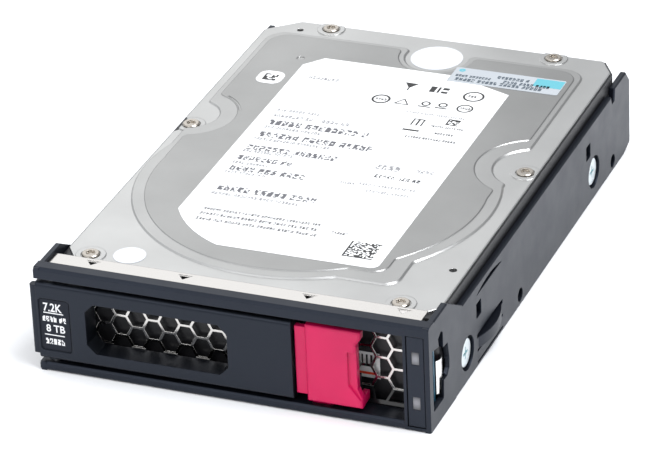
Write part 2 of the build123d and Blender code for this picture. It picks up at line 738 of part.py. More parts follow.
def carrier_frame():
    body = block(-half_carrier, half_carrier, carrier_front, top_rail_rear, top_rail_under, carrier_height)
    body = chamfer(edges_at(body, Axis.Z, carrier_height).filter_by(Axis.X), 0.7)
    lower = block(-half_carrier, half_carrier, carrier_front, bottom_rail_rear, 0, bottom_rail_top)
    lower = chamfer(edges_at(lower, Axis.Y, carrier_front).filter_by(Axis.X), 0.5)
    body += lower
    body += block(-half_carrier, half_carrier, carrier_front + 1, shelf_rear, 0, shelf_top)
    body += block(opening_right, half_carrier, carrier_front, -3.6, 0.3, top_rail_under + 1)
    rail = side_rail()
    body += rail
    body -= side_slab(window_points(), corner_cavity[1] - 0.1, half_carrier + 1)
    body -= block(*corner_cavity, carrier_front + led_panel_depth + 1.0, shield_wall_y + 1, 2.8, 25.2)
    body -= block(rail_inner - 0.5, half_carrier - 0.7, finger_front, finger_rear,
                  finger_low - 0.4, finger_high + 3)
    left = mirrored(rail)
    left -= block(-half_carrier - 1, -rail_inner + 1, carrier_front - 1, 3.0,
                  bottom_rail_top, top_rail_under)
    body += left
    body -= block(led_panel_left - 0.1, led_panel_right + 0.1, carrier_front - 1,
                  carrier_front + led_panel_depth, 1.1, 26.7)
    for z0, z1 in led_windows():
        body -= block(led_left - 0.1, led_right + 0.1, carrier_front - 1, 0, z0 - 0.1, z1 + 0.1)
    body -= post((pivot_pin_x, pivot_pin_y), 0.8, carrier_height - 1.0, pivot_pin_radius)
    body -= block(latch_step + 0.2, latch_step + 6.1 + latch_travel, latch_guide_y[0] - air,
                  latch_guide_y[1] + air, bottom_rail_top - 1.2, bottom_rail_top + 0.1)
    body -= block(latch_step + 0.2, latch_step + 6.1 + latch_travel, latch_guide_y[0] - air,
                  latch_guide_y[1] + air, top_rail_under - 0.1, top_rail_under + 1.2)
    body += block(spring_seat_x, spring_seat_x + 1.5, spring_y - 1.6, spring_y + 1.4, bottom_rail_top - 0.1,
                  spring_z + 2.2)
    return body


led_left, led_right = 48.0, 49.9
corner_cavity = (opening_right + 1.0, rail_inner - 0.1)   # hollow behind the indicator panel


def led_windows():
    return [(18.9, 22.3), (6.2, 9.7)]


def led_panel():
    panel = block(led_panel_left, led_panel_right, carrier_front + 0.1, carrier_front + led_panel_depth,
                  1.2, 26.6)
    panel = chamfer(edges_at(panel, Axis.Y, carrier_front + 0.1), 0.2)
    for z0, z1 in led_windows():
        panel -= block(led_left - 0.05, led_right + 0.05, carrier_front - 1, 0, z0 - 0.05, z1 + 0.05)
    return panel


def light_pipes():
    return [block(led_left, led_right, carrier_front + 0.2, -3.6, z0, z1) for z0, z1 in led_windows()]


def indicator_board():
    return block(46.9, rail_inner - 0.2, -2.9, -2.1, 4.0, 24.6)


def indicator_leds():
    return [block(led_left + 0.1, led_right - 0.1, -3.55, -2.9, (z0 + z1) / 2 - 0.8, (z0 + z1) / 2 + 0.8)
            for z0, z1 in led_windows()]


def grounding_fingers():
    """Bowed spring strip standing in the side window."""
    inner, outer, sheet = rail_inner + 0.1, half_carrier - 0.8, 0.2
    middle = (finger_front + finger_rear) / 2
    arcs = [ThreePointArc((x, finger_front), (x + outer - inner, middle), (x, finger_rear))
            for x in (inner, inner - sheet)]
    ends = [Line((inner, y), (inner - sheet, y)) for y in (finger_front, finger_rear)]
    return slab(make_face([*arcs, *ends]), finger_low, finger_high)


# ---- Lever ----------------------------------------------------------------------------
vent_left, vent_right, vent_low, vent_high, vent_corner = -39.1, -0.7, 7.0, 21.2, 2.4


def octagon(x0, x1, z0, z1, corner):
    """Rectangle in X and Z with cut corners."""
    return Polygon((x0 + corner, z0), (x1 - corner, z0), (x1, z0 + corner), (x1, z1 - corner),
                   (x1 - corner, z1), (x0 + corner, z1), (x0, z1 - corner), (x0, z0 + corner), align=None)


def ejector_lever():
    body = block(lever_left, lever_right, carrier_front, lever_back, lever_bottom, lever_top)
    body = fillet(edges_at(body, Axis.Y, carrier_front).filter_by(Axis.X), 1.2)
    hollow = block(vent_left + 1, lever_right - 1.4, carrier_front + lever_skin, lever_back + 1,
                   lever_bottom + 1.6, lever_top - 1.6)
    wall = 1.2
    tunnel = front_slab(octagon(vent_left - wall, vent_right + wall, vent_low - wall, vent_high + wall,
                                vent_corner), carrier_front + 0.2, lever_back)
    body = body - hollow + tunnel
    body -= front_slab(octagon(vent_left, vent_right, vent_low, vent_high, vent_corner),
                       carrier_front - 1, lever_back + 1)
    body -= front_slab(octagon(-51.9, -43.3, 6.0, 21.0, 0.6), carrier_front - 1, carrier_front + 0.3)
    ear = block(lever_left - 2.0, lever_left + 0.6, carrier_front + 0.6, pivot_pin_y, 4.5, 24.0)
    ear = fillet(edges_at(ear, Axis.X, lever_left - 2.0).filter_by(Axis.Z), 0.7)
    body += ear
    pin = (pivot_pin_x, pivot_pin_y)
    back_left = block(lever_left - 1, pivot_pin_x, pivot_pin_y, lever_back + 1, 0, carrier_height)
    body -= back_left
    body += post(pin, lever_bottom, lever_top, pivot_pin_y - carrier_front - 0.4)
    body -= post(pin, 0, carrier_height, pivot_pin_radius + fit)
    body -= tube(pin, 11.0, 17.6, lever_spring_outer + air, pivot_pin_radius)
    body -= block(pivot_pin_x - 3.6, pivot_pin_x + 3.6, pivot_pin_y, lever_back + 4, 11.0, 17.6)
    return body


lever_spring_outer = 2.2


def lever_pivot_pin():
    return post((pivot_pin_x, pivot_pin_y), 0.8, carrier_height - 1.0, pivot_pin_radius)


def lever_spring():
    """Close coil round the pin that throws the lever open."""
    wire = 0.22
    radius = lever_spring_outer - wire
    helix = Helix(pitch=0.95, height=4.75, radius=radius)
    profile = Plane(origin=helix @ 0, z_dir=helix % 0) * Circle(wire)
    coil = sweep(profile, helix, is_frenet=True)
    return Pos(pivot_pin_x, pivot_pin_y, 11.9) * coil


def lever_label():
    return front_slab(octagon(-51.7, -43.5, 6.2, 20.8, 0.5), carrier_front + 0.2, carrier_front + 0.3)


# ---- Latch ----------------------------------------------------------------------------
latch_guide_y = (-8.0, -6.2)
spring_seat_x = 31.0
spring_y = -5.8
spring_z = 8.4


def release_latch():
    """Sliding latch: face plate with a finger recess, side walls and two guide feet."""
    face = Polygon((latch_step, latch_bottom), (latch_right, latch_bottom), (latch_right, 6.4),
                   (latch_waist, 9.0), (latch_waist, 21.4), (latch_right, 23.2), (latch_right, latch_top),
                   (latch_step, latch_top), align=None)
    body = front_slab(face, carrier_front, carrier_front + latch_plate)
    body = chamfer(edges_at(body, Axis.Y, carrier_front), 0.5)
    recess = Polygon((31.2, 19.4), (31.2, 10.0), (latch_right, 5.7), (latch_right + 1, 5.7),
                     (latch_right + 1, 19.4), align=None)
    body -= front_slab(recess, carrier_front - 1, carrier_front + 0.6)
    body += block(latch_left, latch_step + 0.5, carrier_front + 0.8, carrier_front + latch_plate, 5.2, 24.2)
    behind = carrier_front + latch_plate - 0.1
    for z0, z1 in ((latch_bottom + 0.2, latch_bottom + 1.6), (latch_top - 1.6, latch_top - 0.2)):
        body += block(latch_step, latch_step + 5.7, behind, lever_back, z0, z1)
    body += block(latch_step, latch_step + 1.4, behind, lever_back, latch_bottom + 0.2, latch_top - 0.2)
    body += block(spring_seat_x + 1.5 + 0.4, latch_right - 0.1, behind, lever_back, latch_bottom + 0.1, 6.2)
    for z0, z1 in ((bottom_rail_top - 0.8, latch_bottom + 0.4), (latch_top - 0.4, top_rail_under + 0.8)):
        body += block(latch_step + 0.5, latch_step + 5.5, *latch_guide_y, z0, z1)
    return body


def latch_spring():
    """Compression spring between the latch's web and the post on the frame."""
    wire = 0.25
    length = spring_seat_x - (latch_step + 1.4) - 2 * wire - 0.2
    helix = Helix(pitch=length / 6, height=length, radius=1.5)
    profile = Plane(origin=helix @ 0, z_dir=helix % 0) * Circle(wire)
    coil = sweep(profile, helix, is_frenet=True)
    return Pos(latch_step + 1.5 + wire, spring_y, spring_z) * Rot(0, 90, 0) * coil


# ---- EMI shield -----------------------------------------------------------------------
def hex_cell():
    """One flat-topped cell, a little taller than a regular hexagon."""
    corner = hex_column * 2 / 3 - hex_bar * 0.58
    half_height = (hex_row - hex_bar) / 2
    return Polygon((-corner, 0), (-corner / 2, -half_height), (corner / 2, -half_height), (corner, 0),
                   (corner / 2, half_height), (-corner / 2, half_height), align=None)


def hex_cells(x0, x1, z0, z1):
    """Places of the cells in staggered columns, between two heights."""
    columns = int((opening_right - hex_first) / hex_column)
    for i in range(columns):
        x = hex_first + hex_column * i
        if x0 < x < x1:
            for j in range(-1, 4):
                z = shield_fold_z + hex_row * (j + (i % 2) / 2)
                if z0 < z < z1:
                    yield Pos(x, z)


def emi_shield():
    """Folded sheet: top flange, honeycomb wall and sloping floor with the same cells, foot."""
    top = carrier_height - 1.0
    right = opening_right - 0.2
    flange = block(-rail_inner + seat, 48.9, top_rail_rear, -0.1, top - shield_sheet, top)
    for x in (-39.9, -14.9, 18.3, 43.2):
        notch = plan([(x - 1.9, -1.0), (x + 1.9, -1.0), (x, -3.3)])
        flange -= slab(notch, top - 1, top + 1)
    wall = block(-44.0, right, shield_wall_y, shield_wall_y + shield_sheet, shield_fold_z, top)
    slope = side_slab([(shield_wall_y, shield_fold_z), (shield_wall_y + shield_sheet, shield_fold_z),
                       (shield_floor_front + shield_sheet, shield_floor_low),
                       (shield_floor_front, shield_floor_low)], -44.0, right)
    body = wall + slope
    strip_top = shield_floor_low + 0.8
    for place in [*hex_cells(-44, 0, 0, 21), *hex_cells(20, 44, 0, 24)]:
        cutter = front_slab(place * hex_cell(), shield_floor_front - 1, shield_wall_y + 1)
        body -= cutter & block(-44, 44, -6, 1, strip_top, 24)
    foot = block(-44.0, right, shield_floor_front, -0.3, shelf_top, shelf_top + shield_sheet)
    riser = block(-44.0, right, shield_floor_front, shield_floor_front + shield_sheet,
                  shelf_top, shield_floor_low)
    return flange + body + foot + riser


def carrier_screws():
    screws = []
    for side in (-1, 1):
        for y in side_screw_ys:
            x0, x1 = rail_inner + 0.5, rail_inner + 1.0
            head = chamfer(edges_at(bar_x(x0, x1, y, side_z, 3.8), Axis.X, x1), 0.15)
            shank = bar_x(half_drive - 3.9, x0, y, side_z, mount_hole_radius - fit)
            cross = Pos(x1, y, side_z) * (Box(0.5, 3.4, 0.7) + Box(0.5, 0.7, 3.4))
            screw = head + shank - cross
            screws.append(screw if side > 0 else mirrored(screw))
    return screws


# ---- Write every node -----------------------------------------------------------------
nodes = {
    "carrier_frame": carrier_frame, "emi_shield": emi_shield, "grounding_fingers": grounding_fingers,
    "led_panel": led_panel, "light_pipes": light_pipes, "indicator_board": indicator_board,
    "indicator_leds": indicator_leds, "carrier_screws": carrier_screws,
    "ejector_lever": ejector_lever, "lever_label": lever_label, "lever_pivot_pin": lever_pivot_pin,
    "lever_spring": lever_spring, "release_latch": release_latch, "latch_spring": latch_spring,
    "base_casting": base_casting, "top_cover": top_cover, "cover_gasket": cover_gasket,
    "cover_screws": cover_screws, "shaft_screws": shaft_screws, "main_label": main_label,
    "seal_dots": seal_dots, "data_sticker": data_sticker, "serial_strip_label": serial_strip_label,
    "front_label": front_label, "spindle_shaft": spindle_shaft, "spindle_bearing": spindle_bearing,
    "spindle_hub": spindle_hub, "rotor_magnet": rotor_magnet, "stator_core": stator_core,
    "stator_coils": stator_coils, "platters": platters, "platter_spacers": platter_spacers,
    "disc_clamp": disc_clamp, "clamp_screws": clamp_screws, "actuator_carriage": actuator_carriage,
    "voice_coil": voice_coil, "head_suspensions": head_suspensions, "head_sliders": head_sliders,
    "pivot_shaft": pivot_shaft, "pivot_bearing": pivot_bearing, "lower_yoke": lower_yoke,
    "upper_yoke": upper_yoke, "voice_coil_magnets": voice_coil_magnets, "crash_stops": crash_stops,
    "flex_bracket": flex_bracket, "flex_cable": flex_cable, "load_ramp": load_ramp,
    "recirculation_filter": recirculation_filter, "breather_filter": breather_filter, "pcb": pcb,
    "pcb_screws": pcb_screws, "pcb_foam_pad": pcb_foam_pad, "connector_housing": connector_housing,
    "connector_contacts": connector_contacts,
}
for name, make in nodes.items():
    made = make()
    save(name, *(made if isinstance(made, list) else [made]))
for name, size in chip_places.items():
    save(name, chip(*size))
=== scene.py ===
"""Finishes and fine pieces of a hard disk drive in a hot-plug carrier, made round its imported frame."""
import math
import random

import bmesh
import bpy
from bpy.props import FloatProperty, FloatVectorProperty, IntProperty, PointerProperty
from mathutils import Matrix, Vector


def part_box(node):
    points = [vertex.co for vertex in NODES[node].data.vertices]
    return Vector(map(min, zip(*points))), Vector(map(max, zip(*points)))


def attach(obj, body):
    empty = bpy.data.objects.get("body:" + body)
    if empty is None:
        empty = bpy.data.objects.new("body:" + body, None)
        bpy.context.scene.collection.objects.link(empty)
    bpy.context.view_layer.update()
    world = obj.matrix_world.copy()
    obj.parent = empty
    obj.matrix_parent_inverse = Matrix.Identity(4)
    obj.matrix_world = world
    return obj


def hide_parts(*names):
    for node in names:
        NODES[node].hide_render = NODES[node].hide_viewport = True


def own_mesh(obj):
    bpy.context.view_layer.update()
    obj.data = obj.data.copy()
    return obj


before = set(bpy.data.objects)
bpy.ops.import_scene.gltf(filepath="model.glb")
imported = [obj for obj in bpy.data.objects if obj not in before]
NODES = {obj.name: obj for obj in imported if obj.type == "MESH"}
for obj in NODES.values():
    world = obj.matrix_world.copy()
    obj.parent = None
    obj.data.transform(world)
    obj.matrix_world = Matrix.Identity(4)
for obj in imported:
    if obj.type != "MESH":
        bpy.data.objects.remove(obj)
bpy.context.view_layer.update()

bl_info = {
    "name": "Hot-plug drive",
    "version": (1, 0, 0),
    "blender": (4, 5, 0),
    "location": "3D View > Sidebar > Drive",
    "description": "Builds the finishes and the fine pieces of a hard disk drive in its carrier",
    "category": "Object",
}

MM = 0.001
SCREW_YS = (16.9, 118.5)        # side screws, along the drive, in millimetres
SHIELD_FOLD = 0.00562           # height of the fold above the shield's foot
LAMP_HALF = 0.0019              # half the height of a lamp window
COOL_SHEEN = (0.68, 0.78, 1.0)  # tint of the black mouldings' reflections


def low(node):
    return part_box(node)[0]


def high(node):
    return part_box(node)[1]


# ---- Node materials -------------------------------------------------------------------
def add(tree, kind, inputs=None, **options):
    """New shader node with its options, and its inputs linked or set."""
    made = tree.nodes.new(kind)
    for key, value in options.items():
        setattr(made, key, value)
    for key, value in (inputs or {}).items():
        if isinstance(value, bpy.types.NodeSocket):
            tree.links.new(value, made.inputs[key])
        else:
            made.inputs[key].default_value = value
    return made


def start_material(name):
    material = bpy.data.materials.new(name)
    material.use_nodes = True
    tree = material.node_tree
    return material, tree, tree.nodes["Principled BSDF"]


def place(tree, stretch=(1.0, 1.0, 1.0)):
    """Object coordinates, stretched for a pattern with a direction."""
    where = add(tree, "ShaderNodeTexCoord").outputs["Object"]
    return add(tree, "ShaderNodeMapping", {"Vector": where, "Scale": stretch}).outputs[0]


def noise(tree, where, scale, detail=2.0, roughness=0.5):
    inputs = {"Vector": where, "Scale": scale, "Detail": detail, "Roughness": roughness}
    return add(tree, "ShaderNodeTexNoise", inputs).outputs["Fac"]


def between(tree, factor, first, second, lowest=0.3, highest=0.7):
    """Two colours mixed by a pattern."""
    ramp = add(tree, "ShaderNodeValToRGB", {"Fac": factor})
    ramp.color_ramp.elements[0].position = lowest
    ramp.color_ramp.elements[0].color = (*first, 1)
    ramp.color_ramp.elements[1].position = highest
    ramp.color_ramp.elements[1].color = (*second, 1)
    return ramp.outputs["Color"]


def remap(tree, factor, lowest, highest, start=0.0, end=1.0):
    """Value carried from one range, start to end, to another."""
    inputs = {"Value": factor, "From Min": start, "From Max": end, "To Min": lowest, "To Max": highest}
    return add(tree, "ShaderNodeMapRange", inputs).outputs["Result"]


def bump(tree, height, distance, strength=1.0, under=None):
    inputs = {"Height": height, "Distance": distance, "Strength": strength}
    if under:
        inputs["Normal"] = under
    return add(tree, "ShaderNodeBump", inputs).outputs["Normal"]


def shade(colour, factor):
    return tuple(min(1.0, channel * factor) for channel in colour)


def round_edges(tree, radius):
    """Normal that softens the edges, as a mould or a press leaves them."""
    return add(tree, "ShaderNodeBevel", {"Radius": radius}, samples=6).outputs["Normal"]


def moulded_plastic(name, colour, rough=0.42, specular=0.5, tint=(1, 1, 1), edge=0.00035):
    """Spark-textured moulding with faint flow marks and handling wear."""
    material, tree, bsdf = start_material(name)
    where = place(tree)
    flow = noise(tree, where, 38.0, 4.0)
    wear = noise(tree, where, 160.0, 3.0)
    spark = noise(tree, where, 2600.0, 2.0, 0.6)
    tones = between(tree, flow, shade(colour, 0.86), shade(colour, 1.16))
    tree.links.new(tones, bsdf.inputs["Base Color"])
    tree.links.new(remap(tree, wear, rough - 0.06, rough + 0.08), bsdf.inputs["Roughness"])
    tree.links.new(bump(tree, spark, 0.000012, under=round_edges(tree, edge)), bsdf.inputs["Normal"])
    bsdf.inputs["Specular IOR Level"].default_value = specular
    bsdf.inputs["Specular Tint"].default_value = (*tint, 1)
    return material


def rolled_metal(name, colour, rough=0.3, stretch=(1.0, 12.0, 1.0), grain=700.0):
    """Sheet or turned metal with a directional grain."""
    material, tree, bsdf = start_material(name)
    where = place(tree, stretch)
    lines = noise(tree, where, grain, 3.0, 0.65)
    cloud = noise(tree, place(tree), 30.0, 3.0)
    mixed = add(tree, "ShaderNodeMath", {0: lines, 1: cloud}, operation="ADD").outputs[0]
    half = add(tree, "ShaderNodeMath", {0: mixed, 1: 0.5}, operation="MULTIPLY").outputs[0]
    tones = between(tree, half, shade(colour, 0.94), shade(colour, 1.06))
    tree.links.new(tones, bsdf.inputs["Base Color"])
    tree.links.new(remap(tree, half, rough - 0.05, rough + 0.07), bsdf.inputs["Roughness"])
    tree.links.new(bump(tree, lines, 0.000004, under=round_edges(tree, 0.0002)), bsdf.inputs["Normal"])
    bsdf.inputs["Metallic"].default_value = 1.0
    return material


def stamped_cover(name, colour):
    """Pressed sheet, brushed along its length, a little uneven, with painted shade that darkens the plateau
    at the top of the cover.
    """
    material, tree, bsdf = start_material(name)
    lines = noise(tree, place(tree, (14.0, 1.0, 1.0)), 600.0, 3.0, 0.65)
    waves = noise(tree, place(tree, (1.0, 0.6, 1.0)), 16.0, 1.0)
    cloud = noise(tree, place(tree), 45.0, 4.0)
    tones = between(tree, cloud, shade(colour, 0.93), shade(colour, 1.06))
    height = add(tree, "ShaderNodeSeparateXYZ", {"Vector": place(tree)}).outputs["Z"]
    top = high("top_cover")[2]
    # Painted shade: the colour falls from full to 0.7 over the top 0.3 mm of the cover, which is the
    # plateau.
    raised = remap(tree, height, 1.0, 0.7, top - 0.4 * MM, top - 0.1 * MM)
    painted_shade_tones = add(tree, "ShaderNodeVectorMath", {0: tones, "Scale": raised}, operation="SCALE")
    tree.links.new(painted_shade_tones.outputs["Vector"], bsdf.inputs["Base Color"])
    tree.links.new(remap(tree, lines, 0.26, 0.38), bsdf.inputs["Roughness"])
    soft = bump(tree, waves, 0.0016, under=round_edges(tree, 0.0003))
    tree.links.new(bump(tree, lines, 0.000003, under=soft), bsdf.inputs["Normal"])
    bsdf.inputs["Metallic"].default_value = 1.0
    return material


def foot_in_painted_shade(name, colour, level):
    """Bright sheet whose foot, below a level, is painted near-black as painted shade."""
    material = rolled_metal(name, colour, 0.14, (1.0, 14.0, 14.0), 500.0)
    tree = material.node_tree
    bsdf = tree.nodes["Principled BSDF"]
    height = add(tree, "ShaderNodeSeparateXYZ", {"Vector": place(tree)}).outputs["Z"]
    above_painted_shade = remap(tree, height, 0.0, 1.0, level - 0.1 * MM, level + 0.1 * MM)
    # Painted shade: below the fold the sheet turns near-black and stops being metal, standing in for the
    # dark reflection there.
    tree.links.new(between(tree, above_painted_shade, (0.010, 0.011, 0.013), colour, 0.0, 1.0), bsdf.inputs["Base Color"])
    tree.links.new(above_painted_shade, bsdf.inputs["Metallic"])
    bsdf.inputs["Specular IOR Level"].default_value = 0.2
    return material


def coated_metal(name, colour, rough=0.4):
    """Painted or electro-coated casting."""
    material, tree, bsdf = start_material(name)
    where = place(tree)
    pits = add(tree, "ShaderNodeTexVoronoi", {"Vector": where, "Scale": 1500.0}).outputs["Distance"]
    cloud = noise(tree, where, 60.0, 3.0)
    tree.links.new(between(tree, cloud, shade(colour, 0.8), shade(colour, 1.3)), bsdf.inputs["Base Color"])
    tree.links.new(remap(tree, cloud, rough - 0.05, rough + 0.1), bsdf.inputs["Roughness"])
    tree.links.new(bump(tree, pits, 0.00003, 0.5), bsdf.inputs["Normal"])
    return material


def paper(name, colour, rough=0.5):
    """Coated label stock, with a faint fibre and a soft sheen."""
    material, tree, bsdf = start_material(name)
    where = place(tree)
    fibre = noise(tree, where, 1800.0, 4.0, 0.7)
    cloud = noise(tree, where, 25.0)
    tones = between(tree, cloud, shade(colour, 0.975), shade(colour, 1.015))
    tree.links.new(tones, bsdf.inputs["Base Color"])
    tree.links.new(remap(tree, fibre, rough - 0.05, rough + 0.05), bsdf.inputs["Roughness"])
    tree.links.new(bump(tree, fibre, 0.000004), bsdf.inputs["Normal"])
    return material


def printing_ink(name, colour):
    """Thermal print, a little uneven where the ribbon wears."""
    material, tree, bsdf = start_material(name)
    speckle = noise(tree, place(tree), 2400.0, 3.0, 0.7)
    tones = between(tree, speckle, colour, shade(colour, 1.6), 0.35, 0.75)
    tree.links.new(tones, bsdf.inputs["Base Color"])
    bsdf.inputs["Roughness"].default_value = 0.55
    return material


def clear_film(name, colour):
    """Clear film that is a little hazy."""
    material, tree, bsdf = start_material(name)
    haze = noise(tree, place(tree), 500.0, 3.0)
    tree.links.new(between(tree, haze, shade(colour, 0.85), shade(colour, 1.15)), bsdf.inputs["Base Color"])
    tree.links.new(remap(tree, haze, 0.28, 0.38), bsdf.inputs["Roughness"])
    bsdf.inputs["Transmission Weight"].default_value = 0.25
    bsdf.inputs["Coat Weight"].default_value = 0.4
    return material


def frosted_lamp(name):
    """Frosted light pipes with a painted glow, paler in the middle of each window."""
    material, tree, bsdf = start_material(name)
    where = add(tree, "ShaderNodeTexCoord").outputs["Object"]
    bottom, top = low("light_pipes"), high("light_pipes")
    away = []
    for z in (bottom[2] + LAMP_HALF, top[2] - LAMP_HALF):
        centre = ((bottom[0] + top[0]) / 2, bottom[1], z)
        distance = add(tree, "ShaderNodeVectorMath", {0: where, 1: centre}, operation="DISTANCE")
        away.append(distance.outputs["Value"])
    nearest = add(tree, "ShaderNodeMath", {0: away[0], 1: away[1]}, operation="MINIMUM").outputs[0]
    painted_glow_fade = remap(tree, nearest, 0.0, 1.0, 0.4 * MM, 2.1 * MM)
    # Painted glow: the base colour is paler near each window's middle and dark at its edge, though the pipes
    # give no light.
    tones = between(tree, painted_glow_fade, (0.23, 0.23, 0.25), (0.035, 0.035, 0.04), 0.0, 1.0)
    tree.links.new(tones, bsdf.inputs["Base Color"])
    bsdf.inputs["Roughness"].default_value = 0.3
    return material


def wound_wire(name, colour):
    """Enamelled wire laid side by side."""
    material, tree, bsdf = start_material(name)
    where = place(tree)
    wave = add(tree, "ShaderNodeTexWave", {"Vector": where, "Scale": 1600.0, "Distortion": 2.0})
    tones = between(tree, wave.outputs["Fac"], shade(colour, 0.6), shade(colour, 1.2))
    tree.links.new(tones, bsdf.inputs["Base Color"])
    tree.links.new(bump(tree, wave.outputs["Fac"], 0.00005), bsdf.inputs["Normal"])
    bsdf.inputs["Metallic"].default_value = 0.85
    bsdf.inputs["Roughness"].default_value = 0.35
    return material


def polished_disc(name):
    """Sputtered disc surface, almost a mirror, with very faint rings."""
    material, tree, bsdf = start_material(name)
    where = add(tree, "ShaderNodeTexCoord").outputs["Object"]
    first, last = low("platters"), high("platters")
    to_axis = (-(first[0] + last[0]) / 2, -(first[1] + last[1]) / 2, 0)
    centred = add(tree, "ShaderNodeMapping", {"Vector": where, "Location": to_axis}).outputs[0]
    rings = add(tree, "ShaderNodeTexWave", {"Vector": centred, "Scale": 300.0}, wave_type="RINGS",
                rings_direction="Z")
    tones = between(tree, rings.outputs["Fac"], (0.70, 0.70, 0.72), (0.76, 0.76, 0.78), 0.0, 1.0)
    tree.links.new(tones, bsdf.inputs["Base Color"])
    bsdf.inputs["Metallic"].default_value = 1.0
    bsdf.inputs["Roughness"].default_value = 0.06
    return material


def solder_mask(name, colour):
    """Circuit board with faint tracks under its mask."""
    material, tree, bsdf = start_material(name)
    where = place(tree)
    tracks = add(tree, "ShaderNodeTexBrick", {"Vector": where, "Scale": 420.0, "Mortar Size": 0.03})
    tones = between(tree, tracks.outputs["Fac"], shade(colour, 0.8), shade(colour, 1.9), 0.2, 0.8)
    tree.links.new(tones, bsdf.inputs["Base Color"])
    tree.links.new(bump(tree, tracks.outputs["Fac"], 0.00002), bsdf.inputs["Normal"])
    bsdf.inputs["Roughness"].default_value = 0.32
    return material


def soft_rubber(name, colour):
    material, tree, bsdf = start_material(name)
    where = place(tree)
    tones = between(tree, noise(tree, where, 90.0), shade(colour, 0.8), shade(colour, 1.3))
    tree.links.new(tones, bsdf.inputs["Base Color"])
    tree.links.new(bump(tree, noise(tree, where, 1200.0, 3.0), 0.00002), bsdf.inputs["Normal"])
    bsdf.inputs["Roughness"].default_value = 0.75
    return material


def filter_cloth(name, colour):
    material, tree, bsdf = start_material(name)
    fibres = noise(tree, place(tree, (1, 1, 4)), 2200.0, 5.0, 0.8)
    tree.links.new(between(tree, fibres, shade(colour, 0.75), colour), bsdf.inputs["Base Color"])
    tree.links.new(bump(tree, fibres, 0.00006), bsdf.inputs["Normal"])
    bsdf.inputs["Roughness"].default_value = 0.95
    return material


# ---- Piece helpers --------------------------------------------------------------------
def finish_node(name, material):
    """A CAD node keeps its shape and takes a finer finish."""
    for holder in NODES[name].material_slots:
        holder.material = material


def finish_piece(bm, name, body, material, replaced=()):
    """Bmesh to an object at the origin that rides on a body."""
    mesh = bpy.data.meshes.new(name)
    bm.to_mesh(mesh)
    bm.free()
    mesh.materials.append(material)
    piece = bpy.data.objects.new(name, mesh)
    bpy.context.scene.collection.objects.link(piece)
    if replaced:
        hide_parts(*replaced)
    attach(piece, body)
    return piece


def add_box(bm, lowest, highest):
    """Box between two corners, in millimetres."""
    size = Vector((b - a) * MM for a, b in zip(lowest, highest))
    middle = Vector((a + b) / 2 * MM for a, b in zip(lowest, highest))
    bmesh.ops.create_cube(bm, size=1.0, matrix=Matrix.LocRotScale(middle, None, size))


def join(bm, other):
    """Moves what another bmesh holds into this one."""
    made = bpy.data.meshes.new("joined")
    other.to_mesh(made)
    other.free()
    bm.from_mesh(made)
    bpy.data.meshes.remove(made)


def settings():
    return bpy.context.scene.drive_settings


# ---- Settings -------------------------------------------------------------------------
class DriveSettings(bpy.types.PropertyGroup):
    """Colours and sizes that a user would change."""
    carrier_colour: FloatVectorProperty(name="Carrier", description="Colour of the carrier moulding",
                                        subtype="COLOR", size=3, default=(0.0045, 0.0055, 0.0085))
    lever_colour: FloatVectorProperty(name="Lever", description="Colour of the ejector lever",
                                      subtype="COLOR", size=3, default=(0.0050, 0.0060, 0.0085))
    latch_colour: FloatVectorProperty(name="Latch", description="Colour of the release latch",
                                      subtype="COLOR", size=3, default=(0.54, 0.002, 0.076))
    cover_colour: FloatVectorProperty(name="Cover", description="Colour of the top cover",
                                      subtype="COLOR", size=3, default=(0.56, 0.56, 0.55))
    screw_colour: FloatVectorProperty(name="Carrier screws", description="Coating of the carrier screws",
                                      subtype="COLOR", size=3, default=(0.08, 0.36, 0.40))
    print_seed: IntProperty(name="Print", description="Seed of the made-up print", default=7)
    floor_margin: FloatProperty(name="Floor", description="Reach of the floor past the drive",
                                default=3.0, unit="LENGTH")


class PieceOperator:
    """What every piece's operator shares."""
    bl_options = {"REGISTER", "UNDO"}


class DRIVE_OT_carrier(PieceOperator, bpy.types.Operator):
    """Carrier moulding, its lamp panel and its screws"""
    bl_idname = "drive.carrier"
    bl_label = "Carrier"

    def execute(self, context):
        finish_node("carrier_frame", moulded_plastic("carrier_plastic", settings().carrier_colour, 0.36,
                                                     0.42, COOL_SHEEN))
        finish_node("led_panel", moulded_plastic("led_panel_plastic", settings().carrier_colour, 0.3,
                                                 0.42, COOL_SHEEN))
        finish_node("light_pipes", frosted_lamp("light_pipe"))
        zinc = rolled_metal("pale_zinc", (0.78, 0.84, 0.86), 0.35, (1, 1, 1))
        finish_node("carrier_screws", zinc)
        build_screw_patches()
        finish_node("indicator_board", solder_mask("indicator_board_mask", (0.02, 0.10, 0.16)))
        finish_node("indicator_leds", paper("lamp_body", (0.8, 0.8, 0.78)))
        return {"FINISHED"}


class DRIVE_OT_lever(PieceOperator, bpy.types.Operator):
    """Ejector lever, its pin, spring and printed patch"""
    bl_idname = "drive.lever"
    bl_label = "Lever"

    def execute(self, context):
        finish_node("ejector_lever", moulded_plastic("lever_plastic", settings().lever_colour, 0.38,
                                                     0.38, COOL_SHEEN))
        finish_node("lever_label", moulded_plastic("label_black", (0.004, 0.004, 0.006), 0.3,
                                                   0.3, COOL_SHEEN))
        build_lever_print()
        steel = rolled_metal("spring_steel", (0.5, 0.5, 0.5), 0.3)
        for name in ("lever_pivot_pin", "lever_spring"):
            finish_node(name, steel)
        build_latch_spring(steel)
        return {"FINISHED"}


class DRIVE_OT_latch(PieceOperator, bpy.types.Operator):
    """Release latch"""
    bl_idname = "drive.latch"
    bl_label = "Latch"

    def execute(self, context):
        finish_node("release_latch", moulded_plastic("latch_plastic", settings().latch_colour, 0.32, 0.36,
                                                     edge=0.0006))
        return {"FINISHED"}


